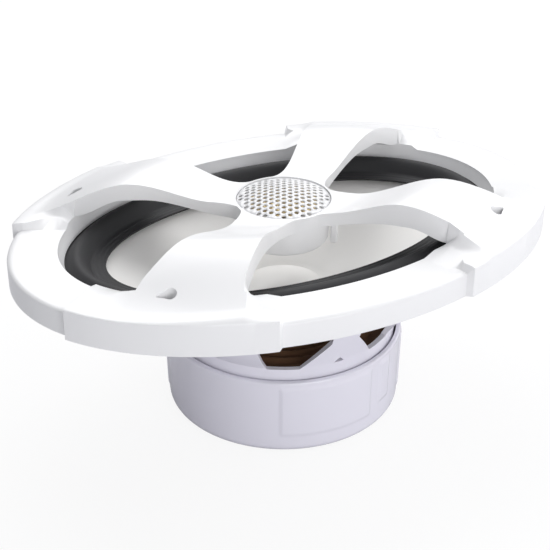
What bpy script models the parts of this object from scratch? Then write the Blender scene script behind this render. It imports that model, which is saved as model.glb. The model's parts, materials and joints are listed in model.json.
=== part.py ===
"""A 6 x 9 inch oval coaxial loudspeaker for a car, as separate parts.

Metres, +Z up towards the listener. The origin is the centre of the magnet boot's base, on the axis of
both voice coils. X runs along the long axis of the oval and Y along the short one. An oval is given
by its two semi-axes, and every oval and circle here is centred on the Z axis.
"""

import math

import bmesh
import bpy
from mathutils import Matrix, Vector

# ---------------------------------------------------------------- driving dimensions (metres)
GAP = 0.0003  # clearance between neighbouring parts

# Grille
RING_OUTER = (0.1320, 0.0910)  # outside wall
RING_INNER = (0.1092, 0.0698)  # edge of the opening
RING_BOTTOM = 0.0839
RING_TOP = 0.0959
RING_SHOULDER = 0.0944  # where the outside wall meets the rounded edge
RING_EDGE = 0.0034  # width of that rounded edge
RING_SKIN = 0.0026
LIP_BOTTOM = 0.0900  # lower end of the wall round the opening
LIP_SLOPE = 0.0026  # how far that wall runs inwards on its way down
BLOCK_TOP = 0.0990
BLOCK_SHOULDER = 0.0983
BLOCK_PROUD = 0.0027  # how far a block stands out past the ring
HUB_RADIUS = 0.0234
HUB_BORE = 0.0208
HUB_SEAT = 0.0223
HUB_TOP = 0.1052
HUB_SEAT_Z = 0.1036
HUB_BOTTOM = 0.0980
ARCH_TOP = 0.1140
SCREW = (0.0820, 0.0547)  # half of the standard mounting pattern
SCREW_RADIUS = 0.0023
RECESS_RADIUS = 0.0029
RECESS_FLOOR = 0.0990

# Angles round the oval, in degrees of its parameter, in the quarter where X and Y are positive
ARM_SIDES = (36.0, 62.3)
X_ENDS = {"front": ((17.0, 19.4), (22.9, 23.7)), "back": ((28.8, 31.0), (28.6, 29.3))}
Y_END = ((70.8, 67.4), (69.8, 69.1))  # (inner edge, outer edge), each as (ring level, block level)
END_BULGE = 2.6  # how far a block's end facet widens in the middle
INNER_DROP = 0.0011  # the block's top dips this much at the opening
CLIMB = 1.1  # slope at which the block rises from the opening to meet the arm
HUB_ARM = (4.0, 77.0)  # true angles where the arm leaves the hub

# Suspension and cone
FLANGE_OUTER = (0.1275, 0.0866)
FLANGE_TOP = 0.0885
FLANGE_BOTTOM = 0.0860
LANDING = (0.1125, 0.0735)  # outer edge of the surround
ROLL_OUTER = (0.1060, 0.0666)
ROLL_INNER = (0.0948, 0.0540)
ROLL_HEIGHT = 0.0046
SURROUND_INNER = (0.0880, 0.0467)
RUBBER = 0.0009
SURROUND_TOP = 0.0897
SURROUND_INNER_TOP = 0.0870
CONE_RIM = (0.0935, 0.0527)
CONE_RIM_Z = 0.0857
CONE_NECK_R = 0.0162
CONE_NECK_Z = 0.0558
CAP_RADIUS = 0.0195
CAP_SEAT_R = 0.0204
CAP_SEAT_Z = 0.0574
CONE_SKIN = 0.0009

# Motor and basket
COIL_R = 0.0155
PLATE_BORE = 0.0172
POLE_R = 0.0147
PLATE_R = 0.0500
YOKE_BOTTOM = 0.0030
YOKE_THICK = 0.0060
MAGNET_THICK = 0.0160
PLATE_THICK = 0.0060
BAND_R = 0.0541  # cylindrical lower part of the basket
BAND_WALL = 0.0026
BAND_TOP = 0.0450
SPIDER_Z = 0.0413
SPIDER_R = 0.0512
BOOT_R = 0.0567
BOOT_WALL = 0.0022
BOOT_TOP = 0.0395
BOOT_PAD = 0.0008  # how far its raised panels stand out
BOOT_PANELS = ((-119.0, -72.0, 0.0100), (-65.0, -57.0, 0.0140), (-36.0, -20.0, 0.0060))
BOOT_PANEL_TOP = 0.0362
WINDOWS = ((63.0, 1), (117.0, -1), (243.0, 1), (297.0, -1))  # (angle, side of the Y strut)
WINDOW_SILL = 0.0447

# Tweeter
MESH_RADIUS = 0.0220
MESH_RISE = 0.0032
MESH_SKIN = 0.0008
CUP_R = 0.0221
CUP_BOTTOM = 0.0850
DOME_R = 0.0113
TWEETER_COIL_R = 0.0106

COLUMNS = 36  # facets round an oval or a large circle
PLASTIC_WHITE = (0.86, 0.86, 0.87, 1.0)


# ---------------------------------------------------------------- scene and materials
def clear_scene():
    """Remove every object of the startup scene."""
    for old in list(bpy.data.objects):
        bpy.data.objects.remove(old)


def collection(name):
    """A new collection in the scene."""
    made = bpy.data.collections.new(name)
    bpy.context.scene.collection.children.link(made)
    return made


def material(name, colour, roughness, metallic=0.0):
    """A Principled material with one colour."""
    made = bpy.data.materials.new(name)
    made.use_nodes = True
    shader = made.node_tree.nodes["Principled BSDF"]
    shader.inputs["Base Color"].default_value = colour
    shader.inputs["Roughness"].default_value = roughness
    shader.inputs["Metallic"].default_value = metallic
    made.diffuse_color = colour
    return made


clear_scene()
PARTS = collection("coaxial_speaker")
CUTTERS = collection("cutters")

WHITE = material("white_plastic", PLASTIC_WHITE, 0.35)
BASKET_WHITE = material("basket_plastic", (0.78, 0.78, 0.83, 1.0), 0.4)
BOOT_WHITE = material("boot_plastic", (0.74, 0.74, 0.80, 1.0), 0.2)
CONE_WHITE = material("cone_polymer", (0.85, 0.84, 0.81, 1.0), 0.4)
MESH_WHITE = material("mesh_paint", (0.84, 0.84, 0.86, 1.0), 0.4, 0.2)
RUBBER_DARK = material("surround_rubber", (0.035, 0.035, 0.038, 1.0), 0.5)
FOAM = material("gasket_foam", (0.05, 0.05, 0.05, 1.0), 0.9)
FABRIC = material("spider_cloth", (0.16, 0.09, 0.04, 1.0), 0.9)
STEEL = material("plated_steel", (0.55, 0.55, 0.57, 1.0), 0.35, 1.0)
FERRITE = material("ferrite", (0.06, 0.06, 0.065, 1.0), 0.6)
NEODYMIUM = material("magnet_plating", (0.6, 0.6, 0.62, 1.0), 0.25, 1.0)
COPPER = material("copper_wire", (0.72, 0.33, 0.15, 1.0), 0.35, 1.0)
FORMER = material("coil_former", (0.55, 0.28, 0.06, 1.0), 0.4)
GOLD = material("dome_film", (0.70, 0.55, 0.30, 1.0), 0.3, 0.8)
BRASS = material("terminal_brass", (0.75, 0.60, 0.30, 1.0), 0.3, 1.0)
BOARD = material("terminal_board", (0.20, 0.10, 0.05, 1.0), 0.6)
SLEEVE = material("capacitor_sleeve", (0.04, 0.06, 0.16, 1.0), 0.4)
BRAID = material("tinsel_braid", (0.60, 0.45, 0.32, 1.0), 0.5, 0.8)


# ---------------------------------------------------------------- shape helpers
def add_object(name, mesh, finish, group=PARTS):
    """Link a mesh as a named object, shaded smooth with sharp edges kept."""
    made = bpy.data.objects.new(name, mesh)
    group.objects.link(made)
    if finish is not None:
        mesh.materials.append(finish)
    mesh.shade_smooth()
    mesh.set_sharp_from_angle(angle=math.radians(32))
    return made


def as_cutter(made):
    """Hide an object from the render and draw it as wire."""
    made.hide_render = True
    made.display_type = "WIRE"
    return made


def mesh_from(bm, name):
    """Turn a bmesh into mesh data and free it."""
    mesh = bpy.data.meshes.new(name)
    bm.to_mesh(mesh)
    bm.free()
    return mesh


def turned(name, profile, finish, steps=COLUMNS, closed=True, group=PARTS):
    """Turn a profile of (radius, height) points round Z. Its outer side runs from top to bottom."""
    bm = bmesh.new()
    points = [bm.verts.new((radius, 0.0, height)) for radius, height in profile]
    for first, second in zip(points, points[1:]):
        bm.edges.new((first, second))
    if closed:
        bm.edges.new((points[-1], points[0]))
    made = bpy.data.objects.new(name, mesh_from(bm, name))
    group.objects.link(made)
    made.data.materials.append(finish)
    screw = made.modifiers.new("Turn", "SCREW")
    screw.axis = "Z"
    screw.angle = math.tau
    screw.steps = steps
    screw.render_steps = steps
    screw.use_merge_vertices = True
    screw.merge_threshold = 0.00001
    screw.use_smooth_shade = True
    return made


def oval_points(semi_axes, height, columns=COLUMNS):
    """Points round an oval, one for each column."""
    turn = math.tau / columns
    return [
        Vector((semi_axes[0] * math.cos(turn * i), semi_axes[1] * math.sin(turn * i), height))
        for i in range(columns)
    ]


def oval_loft(name, section, finish, columns=COLUMNS, group=PARTS):
    """Loft a closed section of (semi_axes, height) points round the oval."""
    bm = bmesh.new()
    rows = [[bm.verts.new(p) for p in oval_points(axes, height, columns)] for axes, height in section]
    for row, below in zip(rows, rows[1:] + rows[:1]):
        for i in range(columns):
            j = (i + 1) % columns
            bm.faces.new((row[i], below[i], below[j], row[j]))
    bmesh.ops.recalc_face_normals(bm, faces=bm.faces)
    return add_object(name, mesh_from(bm, name), finish, group)


def between(first, second, share):
    """The pair or number that lies this share of the way from the first to the second."""
    if isinstance(first, tuple):
        return tuple(between(a, b, share) for a, b in zip(first, second))
    return first + (second - first) * share


def smooth_step(value):
    """Rise from 0 to 1 with level ends."""
    value = min(max(value, 0.0), 1.0)
    return value * value * (3.0 - 2.0 * value)


def box(name, size, place, finish, tilt=0.0, group=PARTS):
    """A box centred on a place, tilted about X by an angle in degrees."""
    bm = bmesh.new()
    bmesh.ops.create_cube(bm, size=1.0, matrix=Matrix.Diagonal((*size, 1.0)))
    made = add_object(name, mesh_from(bm, name), finish, group)
    made.location = place
    made.rotation_euler = (math.radians(tilt), 0.0, 0.0)
    return made


def rounded(made, width, segments=2):
    """Round an object's edges."""
    bevel = made.modifiers.new("Rounding", "BEVEL")
    bevel.width = width
    bevel.segments = segments
    bevel.limit_method = "ANGLE"
    bevel.angle_limit = math.radians(40)
    return made


def cylinders(bm, radius, low, high, places, sides=20):
    """Add an upright capped cylinder at each (x, y) place."""
    for x, y in places:
        middle = Matrix.Translation((x, y, (low + high) / 2))
        bmesh.ops.create_cone(
            bm,
            cap_ends=True,
            segments=sides,
            radius1=radius,
            radius2=radius,
            depth=high - low,
            matrix=middle,
        )


def cut(target, cutter):
    """Take a cutter's shape out of a target."""
    boolean = target.modifiers.new("Cut " + cutter.name, "BOOLEAN")
    boolean.operation = "DIFFERENCE"
    boolean.solver = "EXACT"
    boolean.object = cutter


def join(target, extra):
    """Add a helper's shape to a target."""
    boolean = target.modifiers.new("Join " + extra.name, "BOOLEAN")
    boolean.operation = "UNION"
    boolean.solver = "EXACT"
    boolean.object = extra


# ---------------------------------------------------------------- grille
def on_oval(semi_axes, degrees):
    """The plan point of an oval at a parameter angle."""
    angle = math.radians(degrees)
    return Vector((semi_axes[0] * math.cos(angle), semi_axes[1] * math.sin(angle)))


def arch_height(plan, share):
    """Top of an arm: level from the hub, then an arch that falls away over the block.

    share runs from 0 at the side of the arm nearest the X axis to 1 at the other side.
    """
    reach = math.hypot(plan.x / RING_INNER[0], plan.y / RING_INNER[1])
    crest = 0.74
    if reach < crest:
        return between(HUB_TOP, ARCH_TOP, smooth_step((reach - 0.34) / (crest - 0.34)))
    end = between(1.26, 1.42, share)
    foot = BLOCK_TOP - 0.0006
    return between(ARCH_TOP, foot, smooth_step((reach - crest) / (end - crest)))


def arm_underside(plan, share):
    """Underside of an arm, shallower at the side nearest the X axis."""
    reach = math.hypot(plan.x / RING_INNER[0], plan.y / RING_INNER[1])
    middle = between(0.1050, 0.1023, share)
    ring_end = 0.0978
    rise = smooth_step((reach - 0.26) / 0.42)
    fall = smooth_step((reach - 0.78) / 0.22)
    return between(between(HUB_BOTTOM, middle, rise), ring_end, fall)


def bezier(ends, t):
    """A point of a cubic Bezier curve in plan."""
    a, b, c, d = (Vector(p) for p in ends)
    s = 1.0 - t
    return a * s**3 + b * (3 * s * s * t) + c * (3 * s * t * t) + d * t**3


def hub_point(degrees, radius=HUB_RADIUS):
    """A plan point on a circle round the axis."""
    angle = math.radians(degrees)
    return Vector((radius * math.cos(angle), radius * math.sin(angle)))


def arm_sides():
    """The plan curves of an arm's two sides, each from the ring to the hub."""
    near_x = (on_oval(RING_INNER, ARM_SIDES[0]), (0.0400, 0.0200), (0.0245, 0.0080), hub_point(HUB_ARM[0]))
    near_y = (on_oval(RING_INNER, ARM_SIDES[1]), (0.0265, 0.0372), (0.0135, 0.0216), hub_point(HUB_ARM[1]))
    return near_x, near_y


def arm_plan(share, along, sides):
    """A plan point of an arm: share runs across it, and along runs from the ring to the hub."""
    low, high = bezier(sides[0], along), bezier(sides[1], along)
    ring_low, ring_high = bezier(sides[0], 0.0), bezier(sides[1], 0.0)
    hub_low, hub_high = bezier(sides[0], 1.0), bezier(sides[1], 1.0)
    at_ring = on_oval(RING_INNER, between(ARM_SIDES[0], ARM_SIDES[1], share))
    at_ring -= ring_low.lerp(ring_high, share)
    at_hub = hub_point(between(HUB_ARM[0], HUB_ARM[1], share)) - hub_low.lerp(hub_high, share)
    return low.lerp(high, share) + at_ring * (1.0 - along) + at_hub * along


def column(inner, outer, block=0, share=None, bulge=0.0, near=0, fade=0.0):
    """One column of the ring: its angles, its level, and how it meets the arm."""
    return dict(inner=inner, outer=outer, block=block, share=share, bulge=bulge, near=near, fade=fade)


def beside_arm(end, near, count, widen=END_BULGE):
    """Columns from an arm's side to its block's end. The last one bulges towards the arm."""
    side = ARM_SIDES[near] + (0.6 if near else -0.6)
    bulge = -widen if near else widen
    inner_end, outer_end = end[0][1], end[1][1]
    made = []
    for k in range(count + 1):
        share = k / count
        angles = (between(side, inner_end, share), between(side, outer_end, share))
        made.append(column(*angles, 1, None, bulge * share, near, (1.0 - share) ** 2))
    return made


def ring_columns(side, across, low=5, beside=2, high=4):
    """The columns of a quarter from X round to Y. side is front or back."""
    x_end = X_ENDS[side]
    made = [column(x_end[0][0] * k / low, x_end[1][0] * k / low) for k in range(low + 1)]
    made += reversed(beside_arm(x_end, 0, beside, 0.0 if side == "front" else END_BULGE))
    for k in range(across + 1):
        angle = between(ARM_SIDES[0], ARM_SIDES[1], k / across)
        made.append(column(angle, angle, 1, k / across))
    made += beside_arm(Y_END, 1, beside)
    for k in range(high + 1):
        made.append(column(between(Y_END[0][0], 90.0, k / high), between(Y_END[1][0], 90.0, k / high)))
    return made


def top_height(place, share_out, plan, inner):
    """Height of the ring's top at a plan point. It blends the block into the arm's flank."""
    if not place["block"]:
        return RING_TOP
    level = BLOCK_TOP - INNER_DROP * (1.0 - smooth_step(share_out / 0.25))
    if place["share"] is not None:
        return max(level, arch_height(plan, place["share"]))
    climb = BLOCK_TOP - INNER_DROP + CLIMB * (plan - inner).length
    flank = min(arch_height(plan, place["near"]), climb)
    return level + place["fade"] * max(0.0, flank - level)


def ring_section(place, top_rows):
    """The closed section of the ring at one column, from the inner top edge outwards and round."""
    shoulder = BLOCK_SHOULDER if place["block"] else RING_SHOULDER
    proud = BLOCK_PROUD if place["block"] else 0.0
    wall = tuple(axis + proud for axis in RING_OUTER)
    flat = tuple(axis - RING_EDGE for axis in RING_OUTER)
    inside = tuple(axis - RING_SKIN for axis in RING_OUTER)
    inner = on_oval(RING_INNER, place["inner"])
    back = on_oval(tuple(axis + RING_SKIN for axis in RING_INNER), place["inner"])
    section = []
    for k in range(top_rows + 1):
        out = (k / top_rows) ** 1.25
        bulge = place["bulge"] * math.sin(math.pi * out)
        plan = on_oval(RING_INNER, place["inner"] + bulge).lerp(on_oval(flat, place["outer"] + bulge), out)
        section.append((plan, top_height(place, out, plan, inner)))
    flat_edge, top = section[-1]
    wall_plan = on_oval(wall, place["outer"])
    section.append((flat_edge.lerp(wall_plan, 0.62), between(top, shoulder, 0.25)))
    section.append((wall_plan, shoulder))
    section.append((wall_plan, RING_BOTTOM))
    section.append((on_oval(inside, place["outer"]), RING_BOTTOM))
    section.append((on_oval(inside, place["outer"]), RING_TOP - RING_SKIN))
    section.append((back, RING_TOP - RING_SKIN))
    section.append((back, LIP_BOTTOM))
    section.append((on_oval(tuple(axis - LIP_SLOPE for axis in RING_INNER), place["inner"]), LIP_BOTTOM))
    share = place["share"]
    middle = section[0][1] - 0.0012 if share is None else arm_underside(inner, share)
    section.append((inner, middle))
    return section


def hub_section(angle):
    """The closed section of the hub at one angle, from the inner top edge outwards and round."""
    rows = (
        (HUB_SEAT, HUB_TOP + 0.0002),
        (HUB_RADIUS, HUB_TOP),
        (HUB_RADIUS, HUB_BOTTOM),
        (HUB_BORE, HUB_BOTTOM),
        (HUB_BORE, HUB_SEAT_Z),
        (HUB_SEAT, HUB_SEAT_Z),
    )
    return [(hub_point(angle, radius), height) for radius, height in rows]


def loft_columns(bm, columns, open_rows=lambda index, row: False):
    """Join neighbouring columns of closed sections, leaving out the faces that open_rows names."""
    count = len(columns[0])
    for index, (left, right) in enumerate(zip(columns, columns[1:])):
        for row in range(count):
            if open_rows(index, row):
                continue
            after = (row + 1) % count
            bm.faces.new((left[row], left[after], right[after], right[row]))


def grille_quarter(bm, side, across=4, along=9, top_rows=3):
    """A quarter of the grille: ring, block, arm and hub in one open sheet. Returns its vertices."""
    before = set(bm.verts)
    sides = arm_sides()
    places = ring_columns(side, across)
    ring = [[bm.verts.new((p.x, p.y, z)) for p, z in ring_section(place, top_rows)] for place in places]
    first = next(i for i, place in enumerate(places) if place["share"] == 0.0)
    count = len(ring[0])
    inner_wall = count - 1
    loft_columns(bm, ring, lambda i, row: row == inner_wall and first <= i < first + across)

    angles = [0.0] + [between(HUB_ARM[0], HUB_ARM[1], k / across) for k in range(across + 1)]
    angles += [between(HUB_ARM[1], 90.0, 0.5), 90.0]
    hub = [[bm.verts.new((p.x, p.y, z)) for p, z in hub_section(angle)] for angle in angles]
    loft_columns(bm, hub, lambda i, row: row == 1 and 1 <= i < 1 + across)

    top, bottom = [], []
    for k in range(across + 1):
        share = k / across
        upper, lower = [ring[first + k][0]], [ring[first + k][inner_wall]]
        for j in range(1, along):
            v = j / along
            plan = arm_plan(share, v, sides)
            upper.append(bm.verts.new((plan.x, plan.y, arch_height(plan, share))))
            draft = 0.08 * math.sin(math.pi * v) * (0.5 - share)
            plan = arm_plan(share + draft, v, sides)
            lower.append(bm.verts.new((plan.x, plan.y, arm_underside(plan, share))))
        upper.append(hub[1 + k][1])
        lower.append(hub[1 + k][2])
        top.append(upper)
        bottom.append(lower)
    for k in range(across):
        for j in range(along):
            bm.faces.new((top[k][j], top[k][j + 1], top[k + 1][j + 1], top[k + 1][j]))
            bm.faces.new((bottom[k][j], bottom[k + 1][j], bottom[k + 1][j + 1], bottom[k][j + 1]))
    for k in (0, across):
        for j in range(along):
            bm.faces.new((top[k][j], bottom[k][j], bottom[k][j + 1], top[k][j + 1]))
    return [vert for vert in bm.verts if vert not in before]


def screw_places():
    """The four mounting screw places."""
    return [(sx * SCREW[0], sy * SCREW[1]) for sx in (-1, 1) for sy in (-1, 1)]


def make_grille():
    """The white moulding: oval ring, four blocks, four arched arms and the hub."""
    bm = bmesh.new()
    grille_quarter(bm, "back")
    for vert in grille_quarter(bm, "front"):
        vert.co.y = -vert.co.y
    bmesh.ops.remove_doubles(bm, verts=bm.verts, dist=0.00001)
    bmesh.ops.recalc_face_normals(bm, faces=bm.faces)
    made = add_object("grille", mesh_from(bm, "grille"), WHITE)
    mirror = made.modifiers.new("Halves", "MIRROR")
    mirror.merge_threshold = 0.00002
    bm = bmesh.new()
    cylinders(bm, RECESS_RADIUS, RECESS_FLOOR, ARCH_TOP + 0.004, screw_places(), 16)
    cut(made, as_cutter(add_object("screw_recesses", mesh_from(bm, "screw_recesses"), None, CUTTERS)))
    bm = bmesh.new()
    cylinders(bm, SCREW_RADIUS, RING_BOTTOM, RECESS_FLOOR + 0.002, screw_places(), 12)
    cut(made, as_cutter(add_object("screw_holes", mesh_from(bm, "screw_holes"), None, CUTTERS)))
    return made


# ---------------------------------------------------------------- suspension and cone
def make_surround():
    """The rubber surround: flat landing, half roll and the lip glued to the cone."""
    upper = [(LANDING, SURROUND_TOP)]
    steps = 6
    for k in range(steps + 1):
        share = k / steps
        base = between(SURROUND_TOP, SURROUND_INNER_TOP + 0.0006, share)
        height = base + ROLL_HEIGHT * math.sin(math.pi * share)
        upper.append((between(ROLL_OUTER, ROLL_INNER, share), height))
    upper.append((SURROUND_INNER, SURROUND_INNER_TOP))
    lower = [(axes, height - RUBBER) for axes, height in reversed(upper)]
    return oval_loft("surround", upper + lower, RUBBER_DARK)


def cone_line():
    """Top surface of the cone from its rim to the neck, as (semi_axes, height)."""
    line = []
    seat = (CAP_SEAT_R, CAP_SEAT_R)
    steps = 5
    for k in range(steps + 1):
        share = 1.0 - k / steps
        height = between(CAP_SEAT_Z, CONE_RIM_Z, share**0.88)
        line.append((between(seat, CONE_RIM, share), height))
    line.append(((CONE_NECK_R, CONE_NECK_R), CONE_NECK_Z + 0.0006))
    return line


def make_cone():
    """The oval woofer cone, with a round seat for the dust cap and a short neck."""
    upper = cone_line()
    lower = [(axes, height - CONE_SKIN) for axes, height in reversed(upper)]
    return oval_loft("woofer_cone", upper + lower, CONE_WHITE)


def cap_profile(radius, base, rise, skin, steps=4):
    """A thin parabolic cap, closed at the axis, listed from the axis out and back."""
    outer = [(radius * k / steps, base + rise * (1.0 - (k / steps) ** 2)) for k in range(steps + 1)]
    inner = [(r, z - skin) for r, z in reversed(outer)]
    return outer + inner


def make_dust_cap():
    """The shallow cap that closes the middle of the cone."""
    profile = cap_profile(CAP_RADIUS, CAP_SEAT_Z + 0.0010, 0.0042, 0.0007)
    return turned("dust_cap", profile, CONE_WHITE, 28, False)


def make_voice_coil():
    """The woofer's coil former and its winding."""
    top, bottom = CONE_NECK_Z + 0.0002, 0.0210
    wall = 0.00035
    profile = [(COIL_R, top), (COIL_R + wall, top), (COIL_R + wall, bottom), (COIL_R, bottom)]
    turned("voice_coil_former", profile, FORMER, 20)
    inner = COIL_R + wall + 0.0001
    winding = [(inner, 0.0330), (inner + 0.0006, 0.0330), (inner + 0.0006, 0.0238), (inner, 0.0238)]
    turned("voice_coil", winding, COPPER, 20)


def make_spider():
    """The corrugated cloth disc that centres the coil."""
    inner, outer = COIL_R + 0.0008, SPIDER_R
    flat = 0.0045
    waves, steps = 3, 12
    upper = [(inner, SPIDER_Z + 0.0012)]
    for k in range(steps + 1):
        radius = between(inner + 0.001, outer - flat, k / steps)
        height = SPIDER_Z + 0.0012 + 0.0011 * math.sin(math.tau * waves * k / steps)
        upper.append((radius, height))
    upper.append((outer, SPIDER_Z + 0.0007))
    lower = [(r, z - 0.0006) for r, z in reversed(upper)]
    return turned("spider", upper + lower, FABRIC, 24)


# ---------------------------------------------------------------- basket
def window_cutter(name, angle, outline, depth=(0.040, 0.125)):
    """A prism that points outwards at an angle and cuts an outline of (sideways, height) points."""
    bm = bmesh.new()
    turn = Matrix.Rotation(math.radians(angle), 3, "Z")
    near, far = [[bm.verts.new(turn @ Vector((out, y, z))) for y, z in outline] for out in depth]
    count = len(outline)
    for k in range(count):
        after = (k + 1) % count
        bm.faces.new((near[k], near[after], far[after], far[k]))
    bm.faces.new(near)
    bm.faces.new(far)
    bmesh.ops.recalc_face_normals(bm, faces=bm.faces)
    return as_cutter(add_object(name, mesh_from(bm, name), None, CUTTERS))


def side_window_outline(side):
    """The outline of a side window. Its edge next to the strut leans at about 45 degrees up to a knee."""
    outline = [
        (-0.0085, WINDOW_SILL),
        (0.0067, WINDOW_SILL),
        (0.0210, 0.0600),
        (0.0240, 0.0790),
        (-0.0170, 0.0790),
        (-0.0102, 0.0490),
    ]
    return [(side * y, z) for y, z in outline]


def trapezium(low_width, high_width, low, high):
    """A symmetric outline with level ends."""
    return [(-low_width / 2, low), (low_width / 2, low), (high_width / 2, high), (-high_width / 2, high)]


def basket_section():
    """The closed section of the basket, from the flange's inner top edge outwards and round."""
    flare = (0.1115, 0.0725)
    band = (BAND_R, BAND_R)
    inner_band = (BAND_R - BAND_WALL, BAND_R - BAND_WALL)
    shelf = (0.0462, 0.0462)
    floor = YOKE_BOTTOM + YOKE_THICK + MAGNET_THICK + PLATE_THICK + 3 * GAP
    hole = (0.0252, 0.0252)
    steps = 4
    section = [((0.1062, 0.0670), FLANGE_TOP), (FLANGE_OUTER, FLANGE_TOP), (FLANGE_OUTER, FLANGE_BOTTOM)]
    outside = [
        (between(flare, band, (k / steps) ** 0.94), between(FLANGE_BOTTOM, BAND_TOP, k / steps))
        for k in range(steps + 1)
    ]
    inside = [
        (
            between(inner_band, (0.1062, 0.0670), (k / steps) ** 1.06),
            between(BAND_TOP, FLANGE_TOP - 0.0022, k / steps),
        )
        for k in range(steps + 1)
    ]
    section += outside
    section += [(band, floor), (hole, floor), (hole, floor + 0.0024), (inner_band, floor + 0.0024)]
    section += [(inner_band, SPIDER_Z - 0.0026), (shelf, SPIDER_Z - 0.0026), (shelf, SPIDER_Z - GAP)]
    section += [(inner_band, SPIDER_Z - GAP)]
    section += inside
    return section


def make_basket():
    """The moulded basket: oval flange, flared wall with windows, round lower band and floor."""
    made = oval_loft("basket", basket_section(), BASKET_WHITE)
    for index, (angle, side) in enumerate(WINDOWS):
        cut(made, window_cutter(f"side_window_{index}", angle, side_window_outline(side)))
    end_window = trapezium(0.0240, 0.0440, WINDOW_SILL, 0.0780)
    vent = trapezium(0.0052, 0.0008, WINDOW_SILL + 0.0008, 0.0482)
    for index, angle in enumerate((0.0, 180.0)):
        cut(made, window_cutter(f"end_window_{index}", angle, end_window))
        cut(made, window_cutter(f"vent_{index}", angle + 90.0, vent, (0.048, 0.062)))
    bm = bmesh.new()
    cylinders(bm, SCREW_RADIUS, FLANGE_BOTTOM - 0.002, FLANGE_TOP + 0.002, screw_places(), 12)
    cut(made, as_cutter(add_object("flange_holes", mesh_from(bm, "flange_holes"), None, CUTTERS)))
    return made


def make_gasket():
    """The foam seal behind the flange, with its screw holes."""
    inner, outer = (0.1120, 0.0730), (0.1265, 0.0855)
    top, bottom = FLANGE_BOTTOM - GAP, RING_BOTTOM + GAP
    made = oval_loft("mounting_gasket", [(inner, top), (outer, top), (outer, bottom), (inner, bottom)], FOAM)
    bm = bmesh.new()
    cylinders(bm, SCREW_RADIUS + 0.0004, RING_BOTTOM - 0.001, FLANGE_BOTTOM + 0.001, screw_places(), 12)
    cut(made, as_cutter(add_object("gasket_holes", mesh_from(bm, "gasket_holes"), None, CUTTERS)))


# ---------------------------------------------------------------- motor
def make_motor():
    """Yoke with its pole, ferrite ring and front plate."""
    back = YOKE_BOTTOM + YOKE_THICK
    magnet_top = back + GAP + MAGNET_THICK
    plate_low = magnet_top + GAP
    plate_top = plate_low + PLATE_THICK
    yoke = [
        (0.0, plate_top + 0.0004),
        (POLE_R - 0.0008, plate_top + 0.0004),
        (POLE_R, plate_top - 0.0004),
        (POLE_R, back),
        (PLATE_R + 0.001, back),
        (PLATE_R + 0.001, YOKE_BOTTOM + 0.001),
        (PLATE_R, YOKE_BOTTOM),
        (0.0, YOKE_BOTTOM),
    ]
    turned("back_plate_and_pole", yoke, STEEL, 28, False)
    magnet = [
        (0.0240, magnet_top),
        (0.0500, magnet_top),
        (0.0510, magnet_top - 0.001),
        (0.0510, back + GAP + 0.001),
        (0.0500, back + GAP),
        (0.0240, back + GAP),
    ]
    turned("ferrite_magnet", magnet, FERRITE, 28)
    plate = [
        (PLATE_BORE, plate_top),
        (PLATE_R - 0.001, plate_top),
        (PLATE_R, plate_top - 0.001),
        (PLATE_R, plate_low),
        (PLATE_BORE, plate_low),
    ]
    turned("front_plate", plate, STEEL, 28)


def boot_panel(name, start, end, low):
    """A raised panel on the boot's side, between two angles in degrees."""
    bm = bmesh.new()
    inner, outer = BOOT_R - 0.0010, BOOT_R + 0.0006 + BOOT_PAD
    steps = max(2, round((end - start) / 8.0))
    sections = []
    for k in range(steps + 1):
        angle = math.radians(between(start, end, k / steps))
        corners = ((inner, BOOT_PANEL_TOP), (outer, BOOT_PANEL_TOP), (outer, low), (inner, low))
        sections.append([bm.verts.new((r * math.cos(angle), r * math.sin(angle), z)) for r, z in corners])
    loft_columns(bm, sections)
    bm.faces.new(sections[0])
    bm.faces.new(sections[-1])
    bmesh.ops.recalc_face_normals(bm, faces=bm.faces)
    return as_cutter(add_object(name, mesh_from(bm, name), None, CUTTERS))


def make_boot():
    """The moulded boot over the magnet, with raised panels round its side."""
    fillet = 0.0040
    top_r = BOOT_R + 0.0008
    inner_top = top_r - BOOT_WALL
    inner_low = BOOT_R - BOOT_WALL
    profile = [(0.0, 0.0024), (inner_low - 0.002, 0.0024), (inner_low, 0.0044), (inner_top, BOOT_TOP)]
    profile += [(top_r - 0.0005, BOOT_TOP), (top_r, BOOT_TOP - 0.0005)]
    for k in range(5):
        angle = math.pi / 2 * k / 4
        profile.append((BOOT_R - fillet + fillet * math.cos(angle), fillet - fillet * math.sin(angle)))
    profile.append((0.0, 0.0))
    made = turned("magnet_boot", profile, BOOT_WHITE, COLUMNS, False)
    for index, (start, end, low) in enumerate(BOOT_PANELS):
        for half, turn in enumerate((0.0, 180.0)):
            name = f"boot_panel_{index}_{half}"
            join(made, boot_panel(name, start + turn, end + turn, low))
    return made


# ---------------------------------------------------------------- terminals and leads
def tube(name, points, radius, finish):
    """A round wire through a list of points, with closed ends."""
    curve = bpy.data.curves.new(name, "CURVE")
    curve.dimensions = "3D"
    curve.bevel_depth = radius
    curve.bevel_resolution = 2
    curve.use_fill_caps = True
    spline = curve.splines.new("POLY")
    spline.points.add(len(points) - 1)
    for slot, point in zip(spline.points, points):
        slot.co = (*point, 1.0)
    curve.materials.append(finish)
    made = bpy.data.objects.new(name, curve)
    PARTS.objects.link(made)
    return made


def sagging(start, end, sag, steps=6):
    """Points from start to end that hang below the straight line."""
    first, last = Vector(start), Vector(end)
    return [
        first.lerp(last, k / steps) + Vector((0, 0, -sag * math.sin(math.pi * k / steps)))
        for k in range(steps + 1)
    ]


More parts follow.
